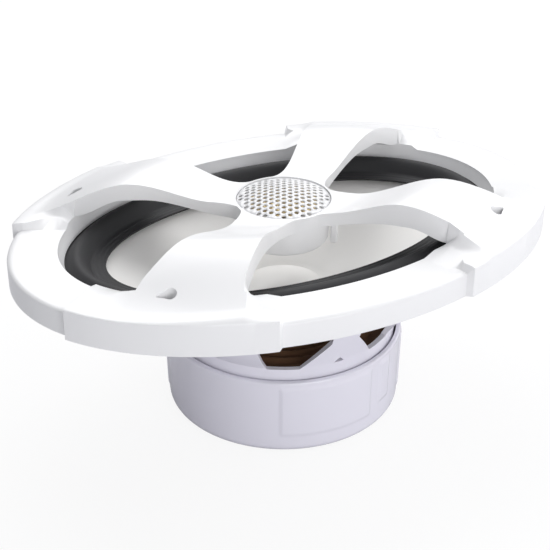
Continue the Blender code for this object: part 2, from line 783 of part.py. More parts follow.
def make_terminals():
    """The terminal board on the back strut, its two blade terminals, rivets and braided leads."""
    lean = -25.0
    turn = Matrix.Rotation(math.radians(lean), 3, "X")
    centre = Vector((0.0, 0.0629, 0.0610))
    board = box("terminal_board", (0.0300, 0.0018, 0.0150), centre, BOARD, lean)
    rounded(board, 0.0005, 1)
    for name, x, width in (("positive_terminal", -0.0085, 0.0063), ("negative_terminal", 0.0085, 0.0048)):
        place = centre + turn @ Vector((x, 0.0009 + GAP + 0.0004, -0.0060))
        box(name, (width, 0.0008, 0.0160), place, BRASS, lean)
    spin = (turn @ Matrix.Rotation(math.pi / 2, 3, "X")).to_4x4()
    for name, x in (("rivet_positive", -0.0085), ("rivet_negative", 0.0085)):
        place = centre + turn @ Vector((x, 0.0009 + 2 * GAP + 0.0008 + 0.0005, 0.0))
        rivet = bmesh.new()
        bmesh.ops.create_cone(
            rivet,
            cap_ends=True,
            segments=16,
            radius1=0.0014,
            radius2=0.0014,
            depth=0.0010,
            matrix=Matrix.Translation(place) @ spin,
        )
        add_object(name, mesh_from(rivet, name), BRASS)
    for name, x in (("tinsel_lead_positive", -0.0075), ("tinsel_lead_negative", 0.0075)):
        tube(name, sagging((x, 0.0550, 0.0600), (x, 0.0340, 0.0672), 0.0050), 0.0006, BRAID)


# ---------------------------------------------------------------- tweeter
def make_tweeter_mesh():
    """The domed guard over the tweeter."""
    base = HUB_SEAT_Z + GAP + MESH_SKIN
    profile = cap_profile(MESH_RADIUS, base, MESH_RISE + 0.0006, MESH_SKIN)
    return turned("tweeter_mesh", profile, MESH_WHITE, 28, False)


def make_tweeter_cup():
    """The cup under the hub that covers the back of the tweeter."""
    top = HUB_BOTTOM - GAP
    wall = 0.0012
    outer_low = CUP_R - 0.0009
    edge = 0.0016
    profile = [(0.0, CUP_BOTTOM + wall), (outer_low - wall, CUP_BOTTOM + wall)]
    profile += [(CUP_R - wall, top), (CUP_R, top)]
    for k in range(4):
        angle = math.pi / 2 * k / 3
        radius = outer_low - edge + edge * math.cos(angle)
        profile.append((radius, CUP_BOTTOM + edge - edge * math.sin(angle)))
    profile.append((0.0, CUP_BOTTOM))
    return turned("tweeter_cup", profile, WHITE, 28, False)


def make_tweeter_motor():
    """The tweeter's pot, magnet, pole disc and face plate."""
    pot = [
        (0.0, 0.0943),
        (0.0123, 0.0943),
        (0.0123, 0.1013),
        (0.0142, 0.1013),
        (0.0142, 0.0925),
        (0.0137, 0.0920),
        (0.0, 0.0920),
    ]
    turned("tweeter_yoke", pot, STEEL, 20, False)
    magnet = [(0.0, 0.0985), (0.0094, 0.0985), (0.0094, 0.0946), (0.0, 0.0946)]
    turned("tweeter_magnet", magnet, NEODYMIUM, 20, False)
    disc = [(0.0, 0.1006), (0.0099, 0.1006), (0.0099, 0.0988), (0.0, 0.0988)]
    turned("tweeter_pole_disc", disc, STEEL, 20, False)
    face = [(0.0129, 0.1030), (0.0204, 0.1030), (0.0204, 0.1016), (0.0129, 0.1016)]
    turned("tweeter_face_plate", face, WHITE, 28)


def make_tweeter_diaphragm():
    """The dome, its small roll and its coil."""
    base = 0.1036
    turned("tweeter_dome", cap_profile(DOME_R, base, 0.0030, 0.0003), GOLD, 20, False)
    roll_in, roll_out = DOME_R + GAP, 0.0150
    upper = [
        (between(roll_in, roll_out, k / 6), base - 0.0001 + 0.0009 * math.sin(math.pi * k / 6))
        for k in range(7)
    ]
    upper.append((0.0165, base - 0.0001))
    lower = [(r, z - 0.0002) for r, z in reversed(upper)]
    turned("tweeter_surround", upper + lower, GOLD, 20)
    inner, outer = TWEETER_COIL_R, TWEETER_COIL_R + 0.0005
    coil = [(inner, 0.1030), (outer, 0.1030), (outer, 0.0980), (inner, 0.0980)]
    turned("tweeter_coil", coil, COPPER, 20)


def make_crossover():
    """The capacitor under the tweeter, and the lead that runs along one arm."""
    bm = bmesh.new()
    lying = Matrix.Translation((0.0, 0.0, 0.0891)) @ Matrix.Rotation(math.pi / 2, 4, "Y")
    size = dict(radius1=0.0025, radius2=0.0025, depth=0.0120)
    bmesh.ops.create_cone(bm, cap_ends=True, segments=24, matrix=lying, **size)
    rounded(add_object("crossover_capacitor", mesh_from(bm, "crossover_capacitor"), SLEEVE), 0.0004, 1)
    angle = math.radians(-38.0)
    guide = box("tweeter_lead_guide", (0.0030, 0.0042, 0.0118), (0, 0, 0), WHITE)
    reach = CUP_R + GAP + 0.0018
    guide.location = (reach * math.cos(angle), reach * math.sin(angle), 0.0905)
    guide.rotation_euler = (0.0, 0.0, angle)
    rounded(guide, 0.0005, 1)


# ---------------------------------------------------------------- build
make_grille()
make_surround()
make_cone()
make_dust_cap()
make_voice_coil()
make_spider()
make_basket()
make_gasket()
make_motor()
make_boot()
make_terminals()
make_tweeter_mesh()
make_tweeter_cup()
make_tweeter_motor()
make_tweeter_diaphragm()
make_crossover()
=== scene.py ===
# %% [markdown]
# # Coaxial car speaker
# A white 6 x 9 inch speaker with an arched grille, a perforated tweeter guard, a dark rubber surround,
# a windowed basket and a booted magnet. Lengths are metres, +Z points to the listener, and the origin
# is the centre of the boot's base. Fine pieces stand for the CAD nodes that show; the rest are the
# CAD nodes themselves.

# %% Setup
import json
import math

import bmesh
import bpy
from mathutils import Matrix, Vector


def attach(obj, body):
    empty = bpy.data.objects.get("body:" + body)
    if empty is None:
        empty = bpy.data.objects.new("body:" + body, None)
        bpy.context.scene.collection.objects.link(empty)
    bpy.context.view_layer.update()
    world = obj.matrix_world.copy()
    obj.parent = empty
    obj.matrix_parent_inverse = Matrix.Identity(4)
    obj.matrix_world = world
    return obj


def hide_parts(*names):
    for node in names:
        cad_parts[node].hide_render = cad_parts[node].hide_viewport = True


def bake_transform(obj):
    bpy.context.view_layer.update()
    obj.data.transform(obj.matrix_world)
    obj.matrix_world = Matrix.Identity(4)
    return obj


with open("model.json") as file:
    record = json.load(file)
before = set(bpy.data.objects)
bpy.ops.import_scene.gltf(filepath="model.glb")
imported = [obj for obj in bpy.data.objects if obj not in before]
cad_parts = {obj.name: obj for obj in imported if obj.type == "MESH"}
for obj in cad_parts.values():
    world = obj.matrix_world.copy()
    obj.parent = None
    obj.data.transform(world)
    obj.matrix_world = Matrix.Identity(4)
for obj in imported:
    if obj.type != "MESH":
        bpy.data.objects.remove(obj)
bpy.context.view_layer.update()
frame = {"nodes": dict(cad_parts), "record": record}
NODES = frame["nodes"]


# %% [markdown]
# ## Materials
# The real speaker is moulded plastic, rubber, woven cloth and plated steel. A picture could be wrapped
# round each piece, but that needs unwrapping, so every finish here is a Principled shader with nodes.
# The plastics have a little procedural unevenness in roughness and in bump, so that broad highlights
# break up as they do on a real moulding.

# %% Material helpers
COAT_ROUGHNESS = 0.08
GRAIN_DETAIL = 3.0
GRAIN_DEPTH = 0.0004
MOTTLE_SCALE = 22.0
MOTTLE_DETAIL = 2.0
SMOOTHEST = 0.02  # the least roughness that a mottled finish reaches


def shader_of(material):
    """The Principled node of a material."""
    return material.node_tree.nodes["Principled BSDF"]


def finish(name, colour, roughness, metallic=0.0, grain=0.0, scale=400.0, coat=0.0, mottle=0.0, shine=0.5):
    """A Principled material with optional fine bump (grain) and an uneven roughness (mottle)."""
    made = bpy.data.materials.new(name)
    made.use_nodes = True
    nodes, links = made.node_tree.nodes, made.node_tree.links
    shader = shader_of(made)
    shader.inputs["Base Color"].default_value = (*colour, 1.0)
    shader.inputs["Roughness"].default_value = roughness
    shader.inputs["Metallic"].default_value = metallic
    shader.inputs["Specular IOR Level"].default_value = shine
    shader.inputs["Coat Weight"].default_value = coat
    shader.inputs["Coat Roughness"].default_value = COAT_ROUGHNESS
    if grain <= 0.0 and mottle <= 0.0:
        return made
    place = nodes.new("ShaderNodeTexCoord")
    if grain > 0.0:
        noise = nodes.new("ShaderNodeTexNoise")
        noise.inputs["Scale"].default_value = scale
        noise.inputs["Detail"].default_value = GRAIN_DETAIL
        links.new(place.outputs["Object"], noise.inputs["Vector"])
        bump = nodes.new("ShaderNodeBump")
        bump.inputs["Strength"].default_value = grain
        bump.inputs["Distance"].default_value = GRAIN_DEPTH
        links.new(noise.outputs["Fac"], bump.inputs["Height"])
        links.new(bump.outputs["Normal"], shader.inputs["Normal"])
    if mottle > 0.0:
        broad = nodes.new("ShaderNodeTexNoise")
        broad.inputs["Scale"].default_value = MOTTLE_SCALE
        broad.inputs["Detail"].default_value = MOTTLE_DETAIL
        links.new(place.outputs["Object"], broad.inputs["Vector"])
        spread = nodes.new("ShaderNodeMapRange")
        spread.inputs["To Min"].default_value = max(roughness - mottle, SMOOTHEST)
        spread.inputs["To Max"].default_value = roughness + mottle
        links.new(broad.outputs["Fac"], spread.inputs["Value"])
        links.new(spread.outputs["Result"], shader.inputs["Roughness"])
    return made


# %% Finishes
LOOKS = {
    "white_plastic": finish("white_plastic", (0.83, 0.83, 0.835), 0.34, grain=0.03, coat=0.15, mottle=0.05),
    "basket_plastic": finish("basket_plastic", (0.80, 0.785, 0.86), 0.40, grain=0.03, mottle=0.05),
    "boot_plastic": finish("boot_plastic", (0.80, 0.785, 0.86), 0.22, coat=0.35, mottle=0.05),
    "cone_polymer": finish("cone_polymer", (0.86, 0.85, 0.83), 0.38, grain=0.04, scale=900.0, mottle=0.04),
    "mesh_paint": finish("mesh_paint", (0.80, 0.80, 0.81), 0.36, grain=0.02, mottle=0.05),
    "surround_rubber": finish(
        "surround_rubber", (0.030, 0.030, 0.032), 0.62, grain=0.12, scale=1500.0, shine=0.3
    ),
    "gasket_foam": finish("gasket_foam", (0.03, 0.03, 0.03), 0.9, grain=0.5, scale=1200.0),
    "spider_cloth": finish("spider_cloth", (0.10, 0.045, 0.018), 0.85, grain=0.6, scale=2500.0),
    "plated_steel": finish("plated_steel", (0.55, 0.55, 0.57), 0.35, 1.0, grain=0.05),
    "ferrite": finish("ferrite", (0.05, 0.05, 0.055), 0.6, grain=0.2),
    "magnet_plating": finish("magnet_plating", (0.6, 0.6, 0.62), 0.25, 1.0),
    "copper_wire": finish("copper_wire", (0.72, 0.33, 0.15), 0.35, 1.0),
    "coil_former": finish("coil_former", (0.50, 0.24, 0.06), 0.40),
    "dome_film": finish("dome_film", (0.66, 0.52, 0.28), 0.3, 0.8),
    "terminal_brass": finish("terminal_brass", (0.75, 0.60, 0.30), 0.3, 1.0, grain=0.03),
    "terminal_board": finish("terminal_board", (0.16, 0.08, 0.04), 0.6, grain=0.1),
    "capacitor_sleeve": finish("capacitor_sleeve", (0.03, 0.05, 0.15), 0.4),
    "tinsel_braid": finish("tinsel_braid", (0.60, 0.45, 0.32), 0.5, 0.8, grain=0.4, scale=3000.0),
}
for entry in frame["record"]["subparts"]:
    cad = NODES[entry["node"]]
    cad.data.materials.clear()
    cad.data.materials.append(LOOKS[entry["material_slot"]])
print(len(LOOKS), "finishes")


# %% [markdown]
# ## Shape helpers
# The speaker's ovals share one centre, and its round pieces share one axis. Spheres and cylinders could
# be scaled and cut to fit, but a drawn section that is lofted round the oval, or turned round the axis,
# gives each piece its true wall and lip at once, as its mould does.

# %% Small sums
def between(first, second, share):
    """The pair or number that lies this share of the way from the first to the second."""
    if isinstance(first, tuple):
        return tuple(between(a, b, share) for a, b in zip(first, second))
    return first + (second - first) * share


def smooth_step(value):
    """Rise from 0 to 1 with level ends."""
    value = min(max(value, 0.0), 1.0)
    return value * value * (3.0 - 2.0 * value)


def wider(semi_axes, by):
    """An oval's semi-axes, each longer by the same length."""
    return tuple(axis + by for axis in semi_axes)


def on_oval(semi_axes, degrees):
    """The plan point of an oval at a parameter angle."""
    angle = math.radians(degrees)
    return Vector((semi_axes[0] * math.cos(angle), semi_axes[1] * math.sin(angle)))


def on_circle(radius, degrees):
    """A plan point on a circle round the axis."""
    return on_oval((radius, radius), degrees)


# %% Mesh helpers
CREASE = 32.0  # degrees between two faces above which their edge stays sharp


def mesh_object(name, bm, look, crease=CREASE):
    """A smooth-shaded object made from a bmesh, with edges sharper than crease degrees kept."""
    bmesh.ops.recalc_face_normals(bm, faces=bm.faces)
    mesh = bpy.data.meshes.new(name)
    bm.to_mesh(mesh)
    bm.free()
    made = bpy.data.objects.new(name, mesh)
    bpy.context.scene.collection.objects.link(made)
    if look is not None:
        mesh.materials.append(LOOKS[look])
    mesh.shade_smooth()
    mesh.set_sharp_from_angle(angle=math.radians(crease))
    return made


def loft_rows(bm, rows, closed_section=True, closed_round=True):
    """Skin a list of rows of points. Rows follow the section; points in a row go round the axis."""
    made = [[bm.verts.new(p) for p in row] for row in rows]
    pairs = list(zip(made, made[1:]))
    if closed_section:
        pairs.append((made[-1], made[0]))
    count = len(made[0])
    for row, below in pairs:
        for i in range(count if closed_round else count - 1):
            j = (i + 1) % count
            bm.faces.new((row[i], below[i], below[j], row[j]))
    return made


def oval_piece(name, section, look, columns=160, crease=CREASE):
    """Loft a closed section of (semi_axes, height) points round the oval."""
    bm = bmesh.new()
    step = 360.0 / columns
    rows = [[(*on_oval(axes, step * i), height) for i in range(columns)] for axes, height in section]
    loft_rows(bm, rows)
    return mesh_object(name, bm, look, crease)


def turned_piece(name, section, look, columns=120, crease=CREASE):
    """Turn a section of (radius, height) points round Z. Points on the axis close it."""
    bm = bmesh.new()
    step = 360.0 / columns
    inner = [point for point in section if point[0] > 0.0]
    rows = [[(*on_circle(radius, step * i), height) for i in range(columns)] for radius, height in inner]
    on_axis = [height for radius, height in section if radius <= 0.0]
    made = loft_rows(bm, rows, closed_section=not on_axis)
    if on_axis:
        for row, height in ((made[0], on_axis[0]), (made[-1], on_axis[-1])):
            tip = bm.verts.new((0.0, 0.0, height))
            for i in range(columns):
                bm.faces.new((row[i], row[(i + 1) % columns], tip))
    return mesh_object(name, bm, look, crease)


def softened(made, width, segments=3, angle=30.0):
    """Round the sharp edges of a piece and keep its broad faces flat in shading."""
    bevel = made.modifiers.new("Rounding", "BEVEL")
    bevel.width = width
    bevel.segments = segments
    bevel.limit_method = "ANGLE"
    bevel.angle_limit = math.radians(angle)
    bevel.harden_normals = False
    return made


def applied(made):
    """Replace a piece's mesh by its evaluated one, and drop its modifiers."""
    graph = bpy.context.evaluated_depsgraph_get()
    mesh = bpy.data.meshes.new_from_object(made.evaluated_get(graph))
    made.modifiers.clear()
    made.data = mesh
    return made


def carve(made, *cutters):
    """Take the cutters' shapes out of a piece and remove the cutters."""
    for cutter in cutters:
        boolean = made.modifiers.new("Cut", "BOOLEAN")
        boolean.operation = "DIFFERENCE"
        boolean.solver = "EXACT"
        boolean.object = cutter
    applied(made)
    for cutter in cutters:
        bpy.data.objects.remove(cutter)
    made.data.shade_smooth()
    made.data.set_sharp_from_angle(angle=math.radians(CREASE))
    return made


def prism(name, corners_low, corners_high):
    """A closed prism between two matching loops of points."""
    bm = bmesh.new()
    low = [bm.verts.new(p) for p in corners_low]
    high = [bm.verts.new(p) for p in corners_high]
    count = len(low)
    for i in range(count):
        j = (i + 1) % count
        bm.faces.new((low[i], low[j], high[j], high[i]))
    bm.faces.new(low)
    bm.faces.new(high)
    return mesh_object(name, bm, None)


def settle(made, body, *nodes, slot=None):
    """Fix a piece to its body and let it stand for CAD nodes, which are hidden. The slot argument is not
    used.
    """
    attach(made, body)
    if nodes:
        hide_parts(*nodes)
    print(made.name, "on", body, "with", len(made.data.polygons), "faces")
    return made


def flexing(made, start, end, *nodes, slot=None):
    """Bake a piece's placement into its mesh and let it stand for CAD nodes, which are hidden. start and end
    are not used.
    """
    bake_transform(made)
    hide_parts(*nodes)
    print(made.name, "bends with the cone,", len(made.data.polygons), "faces")
    return made


# %% [markdown]
# ## Grille
# One moulding: an oval ring, four blocks that stand a little proud, four arms that arch up from the
# blocks and sweep into the hub. It could be a solid that Booleans cut away, but the arms would come out
# faceted. So a back and a front quarter are built as sheets of matched columns, joined and mirrored, and
# only the screw recesses are cut.

# %% Grille dimensions
RING_OUTER = (0.1320, 0.0910)
RING_INNER = (0.1092, 0.0698)
RING_BOTTOM = 0.0839
RING_TOP = 0.0959
RING_SHOULDER = 0.0944
RING_EDGE = 0.0034
RING_SKIN = 0.0026
SHOULDER_STEPS = 5
LIP_BOTTOM = 0.0900
LIP_SLOPE = 0.0026
LIP_SKIN = 0.0012
BLOCK_TOP = 0.0990
BLOCK_SHOULDER = 0.0983
BLOCK_PROUD = 0.0027
HUB_RADIUS = 0.0234
HUB_BORE = 0.0208
HUB_SEAT = 0.0223
HUB_TOP = 0.1052
HUB_SEAT_Z = 0.1036
HUB_BOTTOM = 0.0980
HUB_LEAD_IN = (0.0, 2.0)  # angles of the hub's columns before the arm
HUB_LEAD_OUT = 4  # columns of the hub after the arm
HUB_RIM_RISE = 0.0002
ARCH_TOP = 0.1140
SCREW = (0.0820, 0.0547)
SCREW_HOLE = 0.0023
RECESS_FLOOR = 0.0990
RECESS_RADIUS = 0.0027
RECESS_OPENING = 48.0  # half the angle that the recess leaves open to its tail, in degrees
TAIL_TURN = math.radians(-22.0)
TAIL_REACH = 0.0060
TAIL_HALF = 0.0004
CUT_SIDES = 24
ARM_SIDES = (36.0, 62.3)
X_ENDS = {"front": ((17.0, 19.4), (22.9, 23.7)), "back": ((28.8, 31.0), (28.6, 29.3))}
Y_END = ((70.8, 67.4), (69.8, 69.1))  # (inner edge, outer edge), each as (ring level, block level)
END_BULGE = 2.6  # how far a block's end facet widens in the middle
INNER_DROP = 0.0011  # the block's top dips this much at the opening
INNER_DROP_REACH = 0.25  # and is level after this share of its width
CLIMB = 1.1  # slope at which the block rises from the opening to meet the arm
HUB_ARM = (4.0, 77.0)
ARM_MARGIN = 0.6  # degrees between an arm's side and the first column beside it
ARM_CROWN = 0.0004
ARM_DRAFT = 0.08
ARM_RISE_START = 0.34  # reach, as a share of the way to the opening's edge, where an arm starts to climb
CREST = 0.74
ARM_FALL_END = (1.26, 1.42)  # reach where the arm's slope runs out, at its side near X and near Y
ARM_FOOT_DEPTH = 0.0006
UNDERSIDE_MIDDLE = (0.1050, 0.1023)
UNDERSIDE_RISE = (0.26, 0.42)  # reach where it starts, and how far it runs
UNDERSIDE_FALL = (0.78, 0.22)
UNDERSIDE_FOOT = 0.0978
ACROSS = 20
ALONG = 40
TOP_ROWS = 8
TOP_SPACING = 1.15
WELD = 0.00001
GRILLE_ROUNDING = 0.0006


# %% Grille surfaces
def oval_reach(plan):
    """How far out a plan point is, as a share of the way to the opening's edge."""
    return math.hypot(plan.x / RING_INNER[0], plan.y / RING_INNER[1])


def arch_height(plan, share):
    """Top of an arm. share runs from 0 at its side nearest the X axis to 1 at the other side."""
    reach = oval_reach(plan)
    crown = ARM_CROWN * math.sin(math.pi * share)
    if reach < CREST:
        rise = smooth_step((reach - ARM_RISE_START) / (CREST - ARM_RISE_START))
        return between(HUB_TOP, ARCH_TOP - ARM_CROWN, rise) + crown * rise
    end = between(*ARM_FALL_END, share)
    fall = smooth_step((reach - CREST) / (end - CREST))
    return between(ARCH_TOP - ARM_CROWN, BLOCK_TOP - ARM_FOOT_DEPTH, fall) + crown * (1.0 - fall)


def arm_underside(plan, share):
    """Underside of an arm, shallower at the side nearest the X axis."""
    reach = oval_reach(plan)
    middle = between(*UNDERSIDE_MIDDLE, share)
    rise = smooth_step((reach - UNDERSIDE_RISE[0]) / UNDERSIDE_RISE[1])
    fall = smooth_step((reach - UNDERSIDE_FALL[0]) / UNDERSIDE_FALL[1])
    return between(between(HUB_BOTTOM, middle, rise), UNDERSIDE_FOOT, fall)


def bezier(ends, t):
    """A point of a cubic Bezier curve in plan."""
    a, b, c, d = (Vector(p) for p in ends)
    s = 1.0 - t
    return a * s**3 + b * (3 * s * s * t) + c * (3 * s * t * t) + d * t**3


NEAR_X = (
    on_oval(RING_INNER, ARM_SIDES[0]),
    (0.0400, 0.0200),
    (0.0245, 0.0080),
    on_circle(HUB_RADIUS, HUB_ARM[0]),
)
NEAR_Y = (
    on_oval(RING_INNER, ARM_SIDES[1]),
    (0.0265, 0.0372),
    (0.0135, 0.0216),
    on_circle(HUB_RADIUS, HUB_ARM[1]),
)


def arm_plan(share, along):
    """A plan point of an arm: share runs across it, and along runs from the ring to the hub."""
    low, high = bezier(NEAR_X, along), bezier(NEAR_Y, along)
    ring_chord = bezier(NEAR_X, 0.0).lerp(bezier(NEAR_Y, 0.0), share)
    hub_chord = bezier(NEAR_X, 1.0).lerp(bezier(NEAR_Y, 1.0), share)
    at_ring = on_oval(RING_INNER, between(*ARM_SIDES, share)) - ring_chord
    at_hub = on_circle(HUB_RADIUS, between(*HUB_ARM, share)) - hub_chord
    return low.lerp(high, share) + at_ring * (1.0 - along) + at_hub * along


# %% Grille mesh
def column(inner, outer, block=0, share=None, bulge=0.0, near=0, fade=0.0):
    """One column of the ring: its angles, its level, and how it meets the arm."""
    return dict(inner=inner, outer=outer, block=block, share=share, bulge=bulge, near=near, fade=fade)


def beside_arm(end, near, count, widen=END_BULGE):
    """Columns from an arm's side to its block's end. The last one bulges towards the arm."""
    side = ARM_SIDES[near] + (ARM_MARGIN if near else -ARM_MARGIN)
    bulge = -widen if near else widen
    inner_end, outer_end = end[0][1], end[1][1]
    made = []
    for k in range(count + 1):
        share = k / count
        angles = (between(side, inner_end, share), between(side, outer_end, share))
        made.append(column(*angles, 1, None, bulge * share, near, (1.0 - share) ** 2))
    return made


def ring_columns(side, across=ACROSS, low=14, beside=7, high=12):
    """The columns of a quarter from X round to Y. side is front or back."""
    x_end = X_ENDS[side]
    made = [column(x_end[0][0] * k / low, x_end[1][0] * k / low) for k in range(low + 1)]
    made += reversed(beside_arm(x_end, 0, beside, 0.0 if side == "front" else END_BULGE))
    for k in range(across + 1):
        angle = between(ARM_SIDES[0], ARM_SIDES[1], k / across)
        made.append(column(angle, angle, 1, k / across))
    made += beside_arm(Y_END, 1, beside)
    for k in range(high + 1):
        made.append(column(between(Y_END[0][0], 90.0, k / high), between(Y_END[1][0], 90.0, k / high)))
    return made


def top_height(place, share_out, plan, inner):
    """Height of the ring's top at a plan point. It blends the block into the arm's flank."""
    if not place["block"]:
        return RING_TOP
    level = BLOCK_TOP - INNER_DROP * (1.0 - smooth_step(share_out / INNER_DROP_REACH))
    if place["share"] is not None:
        return max(level, arch_height(plan, place["share"]))
    climb = BLOCK_TOP - INNER_DROP + CLIMB * (plan - inner).length
    flank = min(arch_height(plan, place["near"]), climb)
    return level + place["fade"] * max(0.0, flank - level)


def ring_section(place):
    """The closed section of the ring at one column, from the inner top edge outwards and round."""
    shoulder = BLOCK_SHOULDER if place["block"] else RING_SHOULDER
    proud = BLOCK_PROUD if place["block"] else 0.0
    inner = on_oval(RING_INNER, place["inner"])
    back = on_oval(wider(RING_INNER, RING_SKIN), place["inner"])
    wall = on_oval(wider(RING_OUTER, proud), place["outer"])
    inside = on_oval(wider(RING_OUTER, -RING_SKIN), place["outer"])
    flat = wider(RING_OUTER, -RING_EDGE)
    section = []
    for k in range(TOP_ROWS + 1):
        out = (k / TOP_ROWS) ** TOP_SPACING
        bulge = place["bulge"] * math.sin(math.pi * out)
        plan = on_oval(RING_INNER, place["inner"] + bulge).lerp(on_oval(flat, place["outer"] + bulge), out)
        section.append((plan, top_height(place, out, plan, inner)))
    flat_edge, top = section[-1]
    for k in range(1, SHOULDER_STEPS):
        turn = math.pi / 2 * k / SHOULDER_STEPS
        section.append((flat_edge.lerp(wall, math.sin(turn)), between(shoulder, top, math.cos(turn))))
    section.append((wall, shoulder))
    section.append((wall, RING_BOTTOM))
    section.append((inside, RING_BOTTOM))
    section.append((inside, RING_TOP - RING_SKIN))
    section.append((back, RING_TOP - RING_SKIN))
    section.append((back, LIP_BOTTOM))
    section.append((on_oval(wider(RING_INNER, -LIP_SLOPE), place["inner"]), LIP_BOTTOM))
    share = place["share"]
    section.append((inner, section[0][1] - LIP_SKIN if share is None else arm_underside(inner, share)))
    return section


def skin_columns(bm, columns, is_open):
    """Join neighbouring closed sections, leaving out the faces that is_open(index, row) names."""
    count = len(columns[0])
    for index, (left, right) in enumerate(zip(columns, columns[1:])):
        for row in range(count):
            if not is_open(index, row):
                after = (row + 1) % count
                bm.faces.new((left[row], left[after], right[after], right[row]))


def skin_grid(bm, grid):
    """Faces over a grid of vertices."""
    for left, right in zip(grid, grid[1:]):
        for j in range(len(left) - 1):
            bm.faces.new((left[j], left[j + 1], right[j + 1], right[j]))


def grille_quarter(bm, side):
    """A quarter of the grille: ring, block, arm and hub in one open sheet. Returns its vertices."""
    before = set(bm.verts)
    places = ring_columns(side)
    ring = [[bm.verts.new((*plan, z)) for plan, z in ring_section(place)] for place in places]
    first = next(i for i, place in enumerate(places) if place["share"] == 0.0)
    inner_wall = len(ring[0]) - 1
    skin_columns(bm, ring, lambda i, row: row == inner_wall and first <= i < first + ACROSS)

    lead_in = len(HUB_LEAD_IN)
    angles = [*HUB_LEAD_IN] + [between(*HUB_ARM, k / ACROSS) for k in range(ACROSS + 1)]
    angles += [between(HUB_ARM[1], 90.0, k / HUB_LEAD_OUT) for k in range(1, HUB_LEAD_OUT + 1)]
    seat = (
        (HUB_SEAT, HUB_TOP + HUB_RIM_RISE),
        (HUB_RADIUS, HUB_TOP),
        (HUB_RADIUS, HUB_BOTTOM),
        (HUB_BORE, HUB_BOTTOM),
        (HUB_BORE, HUB_SEAT_Z),
        (HUB_SEAT, HUB_SEAT_Z),
    )
    hub = [[bm.verts.new((*on_circle(radius, angle), z)) for radius, z in seat] for angle in angles]
    skin_columns(bm, hub, lambda i, row: row == 1 and lead_in <= i < lead_in + ACROSS)

    top, bottom = [], []
    for k in range(ACROSS + 1):
        share = k / ACROSS
        upper, lower = [ring[first + k][0]], [ring[first + k][inner_wall]]
        for j in range(1, ALONG):
            v = j / ALONG
            plan = arm_plan(share, v)
            upper.append(bm.verts.new((*plan, arch_height(plan, share))))
            draft = ARM_DRAFT * math.sin(math.pi * v) * (0.5 - share)
            lower.append(bm.verts.new((*arm_plan(share + draft, v), arm_underside(plan, share))))
        upper.append(hub[lead_in + k][1])
        lower.append(hub[lead_in + k][2])
        top.append(upper)
        bottom.append(lower)
    skin_grid(bm, top)
    skin_grid(bm, bottom)
    skin_grid(bm, [top[0], bottom[0]])
    skin_grid(bm, [top[-1], bottom[-1]])
    return [vert for vert in bm.verts if vert not in before]


def screw_cutter(sx, sy):
    """One screw recess with its short tail, over a through hole."""
    centre = Vector((sx * SCREW[0], sy * SCREW[1]))
    tail = Vector((sx * math.cos(TAIL_TURN), sy * math.sin(TAIL_TURN)))
    across = Vector((-tail.y, tail.x))

    def spot(radius, turn):
        return centre + tail * radius * math.cos(turn) + across * radius * math.sin(turn)

    sweep = 360.0 - 2.0 * RECESS_OPENING
    turns = [math.radians(RECESS_OPENING + sweep * k / CUT_SIDES) for k in range(CUT_SIDES + 1)]
    loop = [spot(RECESS_RADIUS, turn) for turn in turns]
    loop.append(centre + tail * TAIL_REACH - across * TAIL_HALF)
    loop.append(centre + tail * TAIL_REACH + across * TAIL_HALF)
    hole = [spot(SCREW_HOLE, math.tau * k / CUT_SIDES) for k in range(CUT_SIDES)]
    recess = [[(*p, z) for p in loop] for z in (RECESS_FLOOR, ARCH_TOP + 0.004)]
    through = [[(*p, z) for p in hole] for z in (RING_BOTTOM, RECESS_FLOOR + 0.002)]
    return prism("recess", *recess), prism("hole", *through)


half = bmesh.new()
grille_quarter(half, "back")
for vert in grille_quarter(half, "front"):
    vert.co.y = -vert.co.y
bmesh.ops.remove_doubles(half, verts=half.verts, dist=WELD)
grille = mesh_object("grille_moulding", half, "white_plastic")
mirror = grille.modifiers.new("Halves", "MIRROR")
mirror.merge_threshold = 2 * WELD
applied(grille)
for corner in [(sx, sy) for sx in (-1, 1) for sy in (-1, 1)]:
    carve(grille, *screw_cutter(*corner))
softened(grille, GRILLE_ROUNDING)
settle(grille, "frame", "grille", slot="white_plastic")


# %% [markdown]
# ## Tweeter
# The tweeter sits in a cup under the hub, behind a shallow perforated dome. The holes could be a bump in
# a material, but they show the cup behind them, so the guard is a filled outline with real holes, raised
# into a dome and given a skin. They stand on a triangular lattice inside a plain rim.

# %% Tweeter guard
GUARD_RADIUS = 0.0220
GUARD_BASE = 0.1047
GUARD_RISE = 0.0038
GUARD_SKIN = 0.0007
HOLE_PITCH = 0.00335
HOLE_RADIUS = 0.00112
HOLE_LIMIT = 0.0206
LATTICE_TURN = 62.4
GUARD_SIDES = 120
HOLE_SIDES = 14


def guard_height(x, y):
    """Top of the guard's dome."""
    return GUARD_BASE + GUARD_RISE * (1.0 - (x * x + y * y) / GUARD_RADIUS**2)


def lattice(pitch, limit, turn):
    """Points of a triangular lattice inside a circle."""
    angle = math.radians(turn)
    first = Vector((math.cos(angle), math.sin(angle))) * pitch
    second = Vector((math.cos(angle + math.pi / 3), math.sin(angle + math.pi / 3))) * pitch
    reach = int(limit / pitch) + 3
    steps = range(-2 * reach, 2 * reach + 1)
    points = [first * i + second * j for i in steps for j in steps]
    return [p for p in points if p.length <= limit]


def ring_edges(bm, centre, radius, sides):
    """Add a closed ring of edges in plan."""
    made = []
    for k in range(sides):
        turn = math.tau * k / sides
        x, y = centre.x + radius * math.cos(turn), centre.y + radius * math.sin(turn)
        made.append(bm.verts.new((x, y, 0.0)))
    return [bm.edges.new((made[k], made[(k + 1) % sides])) for k in range(sides)]


